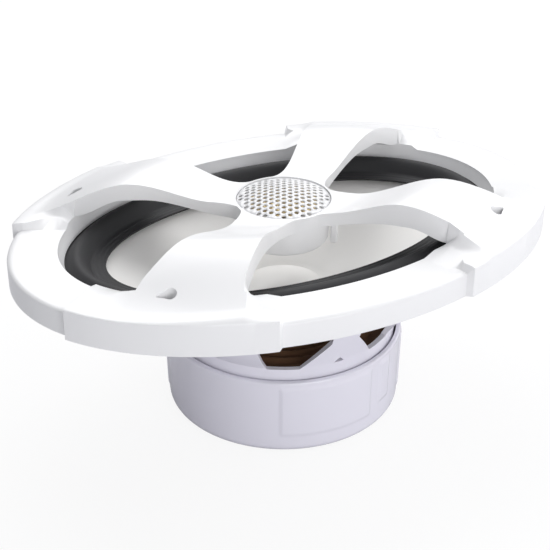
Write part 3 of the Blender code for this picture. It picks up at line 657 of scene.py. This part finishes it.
def make_guard():
    """The perforated guard."""
    bm = bmesh.new()
    edges = ring_edges(bm, Vector((0.0, 0.0)), GUARD_RADIUS, GUARD_SIDES)
    for point in lattice(HOLE_PITCH, HOLE_LIMIT, LATTICE_TURN):
        edges += ring_edges(bm, point, HOLE_RADIUS, HOLE_SIDES)
    bmesh.ops.triangle_fill(bm, use_beauty=True, use_dissolve=False, edges=edges, normal=(0.0, 0.0, 1.0))
    for vert in bm.verts:
        vert.co.z = guard_height(vert.co.x, vert.co.y)
    made = mesh_object("tweeter_guard", bm, "mesh_paint", 40.0)
    solid = made.modifiers.new("Skin", "SOLIDIFY")
    solid.thickness = GUARD_SKIN
    solid.offset = -1.0
    return made


settle(make_guard(), "frame", "tweeter_mesh", slot="mesh_paint")


# %% Tweeter cup
def make_cup():
    """The cup under the hub, with a soft lower edge and a small bevel at its top."""
    wall, top, bottom = 0.0012, 0.0977, 0.0850
    low_r, top_r, edge = 0.0212, 0.0221, 0.0022
    bevel, steps = 0.0002, 8
    section = [(0.0, bottom + wall), (low_r - edge, bottom + wall), (low_r - wall, bottom + edge)]
    section += [(top_r - wall, top), (top_r - bevel, top), (top_r, top - bevel)]
    for k in range(steps + 1):
        turn = math.pi / 2 * k / steps
        section.append((low_r - edge + edge * math.cos(turn), bottom + edge - edge * math.sin(turn)))
    section.append((0.0, bottom))
    return turned_piece("tweeter_cup_fine", section, "white_plastic")


settle(make_cup(), "frame", "tweeter_cup", slot="white_plastic")
softened(NODES["tweeter_face_plate"], 0.0002, 2)


# %% [markdown]
# ## Cone and surround
# The cone is a thin oval funnel with a dust cap glued in it, and a rubber roll lets it move. All three
# could be solids of revolution scaled to an oval, but the real oval is wider at the rim than at the neck,
# which is round. So each ring of the section has its own two semi-axes. The roll and the braided leads
# join the frame to the cone.

# %% Cone
SURROUND_TOP = 0.0897
ROLL_OUTER = (0.1060, 0.0666)
ROLL_INNER = (0.0948, 0.0540)
ROLL_HEIGHT = 0.0046
LANDING = (0.1125, 0.0735)
CONE_EDGE = (0.0880, 0.0467)
CONE_RIM = (0.0935, 0.0527)
CONE_RIM_Z = 0.0857
CAP_SEAT = (0.0204, 0.0204)
CAP_SEAT_Z = 0.0574
CONE_NECK = (0.0162, 0.0162)
CONE_NECK_Z = 0.0564
CONE_STEPS = 28
CONE_BOW = 0.88  # under 1, the cone is steeper near its neck
CONE_SKIN = 0.0009
CAP_RADIUS = 0.0195
CAP_BASE = 0.0584
CAP_RISE = 0.0042
CAP_SKIN = 0.0007


def make_cone():
    """The cone: a slightly bowed line from its rim to the cap's seat and the neck, and one skin lower."""
    upper = []
    for k in range(CONE_STEPS + 1):
        share = 1.0 - k / CONE_STEPS
        height = between(CAP_SEAT_Z, CONE_RIM_Z, share**CONE_BOW)
        upper.append((between(CAP_SEAT, CONE_RIM, share), height))
    upper.append((CONE_NECK, CONE_NECK_Z))
    lower = [(axes, height - CONE_SKIN) for axes, height in reversed(upper)]
    return oval_piece("cone_fine", upper + lower, "cone_polymer", 180, 50.0)


def cap_section(radius, base, rise, skin, steps=16):
    """The section of a thin parabolic cap, from the axis out and back."""
    outer = [(radius * k / steps, base + rise * (1.0 - (k / steps) ** 2)) for k in range(steps + 1)]
    return outer + [(r, z - skin) for r, z in reversed(outer)]


settle(make_cone(), "cone_assembly", "woofer_cone", slot="cone_polymer")
cap = turned_piece("dust_cap_fine", cap_section(CAP_RADIUS, CAP_BASE, CAP_RISE, CAP_SKIN), "cone_polymer")
settle(cap, "cone_assembly", "dust_cap", slot="cone_polymer")


# %% Surround
ROLL_STEPS = 24
ROLL_FOOT = 0.0012  # flat width of the landing next to the roll
ROLL_INNER_Z = 0.0876
CONE_EDGE_Z = 0.0870
GROOVES = 3
GROOVE_DEPTH = 0.00022
GROOVED_SHARE = 0.9
SURROUND_SKIN = 0.0009
BEND_START = (0.0, 0.0, 0.0893)
BEND_END = (0.0, 0.0, 0.0873)


def surround_top():
    """Upper line of the surround from its landing to its inner edge, with fine grooves on the lip."""
    line = [(LANDING, SURROUND_TOP), (wider(ROLL_OUTER, ROLL_FOOT), SURROUND_TOP)]
    for k in range(ROLL_STEPS + 1):
        share = k / ROLL_STEPS
        base = between(SURROUND_TOP, ROLL_INNER_Z, share)
        line.append((between(ROLL_OUTER, ROLL_INNER, share), base + ROLL_HEIGHT * math.sin(math.pi * share)))
    for k in range(1, ROLL_STEPS + 1):
        share = k / ROLL_STEPS
        wave = GROOVE_DEPTH * (1.0 - math.cos(math.tau * GROOVES * share)) / 2
        groove = wave if share < GROOVED_SHARE else 0.0
        height = between(ROLL_INNER_Z, CONE_EDGE_Z, share) - groove
        line.append((between(ROLL_INNER, CONE_EDGE, share), height))
    return line


upper_line = surround_top()
lower_line = [(axes, height - SURROUND_SKIN) for axes, height in reversed(upper_line)]
surround = oval_piece("surround_fine", upper_line + lower_line, "surround_rubber", 200, 60.0)
flexing(surround, BEND_START, BEND_END, "surround", slot="surround_rubber")


# %% Braided leads
LEAD_X = 0.0075
LEAD_START = (0.0550, 0.0600)
LEAD_END = (0.0340, 0.0672)
LEAD_SAG = 0.0050
LEAD_RADIUS = 0.0006
LEAD_STEPS = 90
LEAD_SIDES = 12
LEAD_LAYS = 12.0  # turns of the strands along a lead
LEAD_RIPPLE = 0.06
LEAD_TANGENT = 0.01
LEAD_HELD = 0.0015  # length of the lead next to the board
LEAD_CARRIED = 0.0030  # length of the lead next to the cone


def lead_point(x, share):
    """A point of a lead's centre line. It hangs below the straight line between its ends."""
    y, z = between(LEAD_START, LEAD_END, share)
    return Vector((x, y, z - LEAD_SAG * math.sin(math.pi * share)))


def make_lead(name, x):
    """A braided lead from the terminal board to the cone, rippled by the lay of its strands."""
    rows = []
    for k in range(LEAD_STEPS + 1):
        share = k / LEAD_STEPS
        centre = lead_point(x, share)
        along = (lead_point(x, share + LEAD_TANGENT) - lead_point(x, share - LEAD_TANGENT)).normalized()
        side = Vector((1.0, 0.0, 0.0))
        up = side.cross(along)
        row = []
        lay = math.tau * LEAD_LAYS * share
        for i in range(LEAD_SIDES):
            turn = math.tau * i / LEAD_SIDES
            ripple = LEAD_RIPPLE * math.cos(2.0 * turn + lay) * math.cos(2.0 * turn - lay)
            reach = LEAD_RADIUS * (1.0 - LEAD_RIPPLE + ripple)
            row.append(centre + side * reach * math.cos(turn) + up * reach * math.sin(turn))
        rows.append(row)
    bm = bmesh.new()
    made = loft_rows(bm, rows, closed_section=False)
    bm.faces.new(made[0])
    bm.faces.new(made[-1])
    return mesh_object(name, bm, "tinsel_braid", 60.0)


for name, x in (("positive", -LEAD_X), ("negative", LEAD_X)):
    lead = make_lead(f"lead_{name}_fine", x)
    ends = ((x, LEAD_START[0] - LEAD_HELD, 0.0), (x, LEAD_END[0] + LEAD_CARRIED, 0.0))
    flexing(lead, *ends, f"tinsel_lead_{name}", slot="tinsel_braid")


# %% [markdown]
# ## Basket, spider and boot
# The basket is one casting that runs from an oval flange down to a round band, with windows in its side.
# It could be built strut by strut, but the struts are what is left of one flared wall, so the wall is
# lofted whole and the windows are cut from it. The corrugated spider centres the coil in the band, and a
# smooth boot closes the magnet below it.

# %% Basket
FLANGE_OUTER = (0.1275, 0.0866)
FLANGE_TOP = 0.0885
FLANGE_BOTTOM = 0.0860
BAND_R = 0.0541
BAND_WALL = 0.0026
BAND_TOP = 0.0450
FLOOR = 0.0319
FLOOR_TOP = FLOOR + 0.0024
FLOOR_HOLE = (0.0252, 0.0252)
SPIDER_Z = 0.0413
SHELF = (0.0462, 0.0462)
SHELF_BOTTOM = SPIDER_Z - 0.0026
SHELF_TOP = SPIDER_Z - 0.0003
FLARE = (0.1115, 0.0725)
MOUTH = (0.1062, 0.0670)
FLARE_STEPS = 16
FLARE_BOW = 0.94
INNER_BOW = 1.06
FLARE_TOP = FLANGE_TOP - 0.0022
SILL = 0.0447
SIDE_WINDOW = (
    (-0.0085, SILL),
    (0.0067, SILL),
    (0.0210, 0.0600),
    (0.0240, 0.0790),
    (-0.0170, 0.0790),
    (-0.0102, 0.0490),
)
SIDE_WINDOWS = ((63.0, 1), (117.0, -1), (243.0, 1), (297.0, -1))  # (angle, which way round)
VENT_REACH = (0.048, 0.062)


def basket_section():
    """The closed section of the basket, from the flange's inner top edge outwards and round."""
    band = (BAND_R, BAND_R)
    inner_band = (BAND_R - BAND_WALL, BAND_R - BAND_WALL)
    shares = [k / FLARE_STEPS for k in range(FLARE_STEPS + 1)]
    section = [(MOUTH, FLANGE_TOP), (FLANGE_OUTER, FLANGE_TOP), (FLANGE_OUTER, FLANGE_BOTTOM)]
    for share in shares:
        section.append((between(FLARE, band, share**FLARE_BOW), between(FLANGE_BOTTOM, BAND_TOP, share)))
    section += [(band, FLOOR), (FLOOR_HOLE, FLOOR), (FLOOR_HOLE, FLOOR_TOP)]
    section += [(inner_band, FLOOR_TOP), (inner_band, SHELF_BOTTOM), (SHELF, SHELF_BOTTOM)]
    section += [(SHELF, SHELF_TOP), (inner_band, SHELF_TOP)]
    for share in shares:
        section.append((between(inner_band, MOUTH, share**INNER_BOW), between(BAND_TOP, FLARE_TOP, share)))
    return section


def outline_cutter(angle, outline, reach=(0.040, 0.125)):
    """A prism that points outwards at an angle and cuts an outline of (sideways, height) points."""
    turn = Matrix.Rotation(math.radians(angle), 3, "Z")
    return prism("cutter", *[[turn @ Vector((x, y, z)) for y, z in outline] for x in reach])


def side_window(angle, side):
    """A side window. Its edge next to the strut leans at about 45 degrees up to a knee."""
    return outline_cutter(angle, [(side * y, z) for y, z in SIDE_WINDOW])


def trapezium(low_width, high_width, low, high):
    """A symmetric outline with level ends."""
    return [(-low_width / 2, low), (low_width / 2, low), (high_width / 2, high), (-high_width / 2, high)]


basket = oval_piece("basket_fine", basket_section(), "basket_plastic", 160)
end_window = trapezium(0.0240, 0.0440, SILL, 0.0780)
vent = trapezium(0.0052, 0.0008, SILL + 0.0008, 0.0482)
holes = [side_window(angle, side) for angle, side in SIDE_WINDOWS]
holes += [outline_cutter(angle, end_window) for angle in (0.0, 180.0)]
holes += [outline_cutter(angle, vent, VENT_REACH) for angle in (90.0, 270.0)]
carve(basket, *holes)
softened(basket, 0.0005, 2)
settle(basket, "frame", "basket", slot="basket_plastic")


# %% Spider
SPIDER_INNER = 0.0163
SPIDER_OUTER = 0.0512
SPIDER_NECK = 0.0010  # flat width next to the coil former
SPIDER_LANDING = 0.0045  # flat width that is glued to the shelf
SPIDER_LIFT = 0.0012
SPIDER_WAVE = 0.0011
SPIDER_WAVES = 5
SPIDER_STEPS = 60
SPIDER_SKIN = 0.0006


def spider_section():
    """The corrugated disc, closed."""
    upper = [(SPIDER_INNER, SPIDER_Z + SPIDER_LIFT)]
    for k in range(SPIDER_STEPS + 1):
        radius = between(SPIDER_INNER + SPIDER_NECK, SPIDER_OUTER - SPIDER_LANDING, k / SPIDER_STEPS)
        wave = SPIDER_WAVE * math.sin(math.tau * SPIDER_WAVES * k / SPIDER_STEPS)
        upper.append((radius, SPIDER_Z + SPIDER_LIFT + wave))
    upper.append((SPIDER_OUTER, SPIDER_Z + 0.0007))
    return upper + [(r, z - SPIDER_SKIN) for r, z in reversed(upper)]


spider = turned_piece("spider_fine", spider_section(), "spider_cloth", 96, 60.0)
settle(spider, "frame", "spider", slot="spider_cloth")


# %% Boot
BOOT_R = 0.0567
BOOT_TOP = 0.0395
BOOT_LIFT = 0.0008  # how much wider the boot is at its top
BOOT_BEVEL = 0.0006
BOOT_WALL = 0.0022
BOOT_FILLET = 0.0040
BOOT_INSIDE_R = 0.0545
BOOT_FLOOR = 0.0024
BOOT_COLUMNS = 720
BOOT_ROWS = 45
FILLET_STEPS = 8
PAD_LIFT = 0.0006
PAD_EDGE = 0.0024  # width of the slope round a pad
BOOT_PADS = (  # (start angle, end angle, low, high)
    (-119.0, -72.0, 0.0100, 0.0362),
    (-65.0, -57.0, 0.0140, 0.0362),
    (-36.0, -20.0, 0.0060, 0.0362),
)


def boot_pad_lift(angle, height):
    """How raised the boot's side is at a point, from 0 between its pads to 1 on them."""
    lift = 0.0
    for start, end, low, high in BOOT_PADS:
        for turned in (angle, angle + 180.0):
            place = (turned + 180.0) % 360.0 - 180.0
            inside = min(place - start, end - place) * math.radians(BOOT_R)
            level = min(height - low, high - height)
            raised = smooth_step(inside / PAD_EDGE + 0.5) * smooth_step(level / PAD_EDGE + 0.5)
            lift = max(lift, raised)
    return lift


def make_boot():
    """The boot over the magnet, with raised panels round its side."""
    bm = bmesh.new()
    top_r, fillet = BOOT_R + BOOT_LIFT, BOOT_FILLET
    section = [(BOOT_INSIDE_R - 0.002, BOOT_FLOOR, 0), (BOOT_INSIDE_R, BOOT_FLOOR + 0.002, 0)]
    section += [(top_r - BOOT_WALL, BOOT_TOP, 0), (top_r - BOOT_BEVEL, BOOT_TOP, 0)]
    section.append((top_r, BOOT_TOP - BOOT_BEVEL, 0))
    for k in range(1, BOOT_ROWS + 1):
        height = between(BOOT_TOP - BOOT_BEVEL, fillet, k / BOOT_ROWS)
        section.append((between(BOOT_R, top_r, (height - fillet) / (BOOT_TOP - fillet)), height, 1))
    for k in range(1, FILLET_STEPS + 1):
        turn = math.pi / 2 * k / FILLET_STEPS
        section.append((BOOT_R - fillet + fillet * math.cos(turn), fillet - fillet * math.sin(turn), 0))
    rows = []
    for radius, height, padded in section:
        row = []
        for i in range(BOOT_COLUMNS):
            angle = 360.0 * i / BOOT_COLUMNS
            out = radius + (PAD_LIFT * boot_pad_lift(angle, height) if padded else 0.0)
            row.append((*on_circle(out, angle), height))
        rows.append(row)
    made = loft_rows(bm, rows, closed_section=False)
    bm.faces.new(made[0])
    bm.faces.new(made[-1])
    return mesh_object("boot_fine", bm, "boot_plastic", 50.0)


settle(make_boot(), "frame", "magnet_boot", slot="boot_plastic")


# %% [markdown]
# ## Light, backdrop and camera
# A bright studio: a pale floor, white surroundings, and broad soft lights from the right, from above and
# from the front, which leave the lower left of the boot in soft shade. Surroundings as bright as they
# look would wash out a white object, so both they and the floor look whiter to the camera than the light
# that they send to the object.

# %% World
AMBIENT_STRENGTH = 0.40

world = bpy.data.worlds.new("studio")
bpy.context.scene.world = world
world.use_nodes = True
tree = world.node_tree
tree.nodes.clear()
output = tree.nodes.new("ShaderNodeOutputWorld")
mix = tree.nodes.new("ShaderNodeMixShader")
path = tree.nodes.new("ShaderNodeLightPath")
ambient = tree.nodes.new("ShaderNodeBackground")
ambient.inputs["Color"].default_value = (0.95, 0.96, 1.0, 1.0)
ambient.inputs["Strength"].default_value = AMBIENT_STRENGTH
backdrop = tree.nodes.new("ShaderNodeBackground")
backdrop.inputs["Color"].default_value = (1.0, 1.0, 1.0, 1.0)
backdrop.inputs["Strength"].default_value = 1.0
tree.links.new(path.outputs["Is Camera Ray"], mix.inputs["Fac"])
tree.links.new(ambient.outputs["Background"], mix.inputs[1])
tree.links.new(backdrop.outputs["Background"], mix.inputs[2])
tree.links.new(mix.outputs["Shader"], output.inputs["Surface"])


# %% Floor
STUDIO_FLOOR_Z = -0.0003  # just under the boot's base
STUDIO_FLOOR_HALF = 4.0
FLOOR_WHITENESS = 0.88  # share of even white in what the camera sees; the rest shows the soft shadow


def make_floor():
    """A pale floor. The camera sees it nearly white, and it bounces a softer light onto the object."""
    bm = bmesh.new()
    bmesh.ops.create_grid(bm, x_segments=1, y_segments=1, size=STUDIO_FLOOR_HALF)
    for vert in bm.verts:
        vert.co.z = STUDIO_FLOOR_Z
    made = mesh_object("studio_floor", bm, None)
    look = bpy.data.materials.new("pale_floor")
    look.use_nodes = True
    nodes, links = look.node_tree.nodes, look.node_tree.links
    nodes.clear()
    surface = nodes.new("ShaderNodeOutputMaterial")
    ray = nodes.new("ShaderNodeLightPath")
    bounce = nodes.new("ShaderNodeBsdfDiffuse")
    bounce.inputs["Color"].default_value = (0.62, 0.62, 0.64, 1.0)
    pale = nodes.new("ShaderNodeBsdfDiffuse")
    pale.inputs["Color"].default_value = (0.92, 0.92, 0.93, 1.0)
    glow = nodes.new("ShaderNodeEmission")
    seen = nodes.new("ShaderNodeMixShader")
    seen.inputs["Fac"].default_value = FLOOR_WHITENESS
    links.new(pale.outputs["BSDF"], seen.inputs[1])
    links.new(glow.outputs["Emission"], seen.inputs[2])
    chosen = nodes.new("ShaderNodeMixShader")
    links.new(ray.outputs["Is Camera Ray"], chosen.inputs["Fac"])
    links.new(bounce.outputs["BSDF"], chosen.inputs[1])
    links.new(seen.outputs["Shader"], chosen.inputs[2])
    links.new(chosen.outputs["Shader"], surface.inputs["Surface"])
    made.data.materials.append(look)
    return made


make_floor()


# %% Lights
def area_light(name, place, target, width, height, power, colour=(1.0, 1.0, 1.0)):
    """A rectangular soft light that faces a target."""
    data = bpy.data.lights.new(name, "AREA")
    data.shape = "RECTANGLE"
    data.size = width
    data.size_y = height
    data.energy = power
    data.color = colour
    made = bpy.data.objects.new(name, data)
    bpy.context.scene.collection.objects.link(made)
    made.location = place
    made.rotation_euler = (Vector(target) - Vector(place)).to_track_quat("-Z", "Y").to_euler()
    return made


CENTRE = (0.0, 0.0, 0.070)
area_light("right", (0.90, 0.00, 0.70), CENTRE, width=1.1, height=1.1, power=8.0)
area_light("overhead", (0.15, 0.70, 0.95), CENTRE, width=0.9, height=0.9, power=8.5)
area_light("front", (-0.10, -1.25, 0.40), CENTRE, width=1.1, height=0.6, power=8.5, colour=(0.99, 0.99, 1.0))

# %% Camera
FOCAL_MM = 91.7
SENSOR_MM = 36.0
EYE = Vector((-0.27527, -0.51815, 0.39731))
AIM = Vector((-0.00358, 0.00187, 0.06364))
lens = bpy.data.cameras.new("camera")
lens.lens = FOCAL_MM
lens.sensor_width = SENSOR_MM
lens.clip_start = 0.01
camera = bpy.data.objects.new("camera", lens)
bpy.context.scene.collection.objects.link(camera)
camera.location = EYE
camera.rotation_euler = (AIM - EYE).to_track_quat("-Z", "Y").to_euler()
bpy.context.scene.camera = camera
bpy.context.scene.view_settings.view_transform = "Standard"

# %% Finish
bpy.context.view_layer.update()
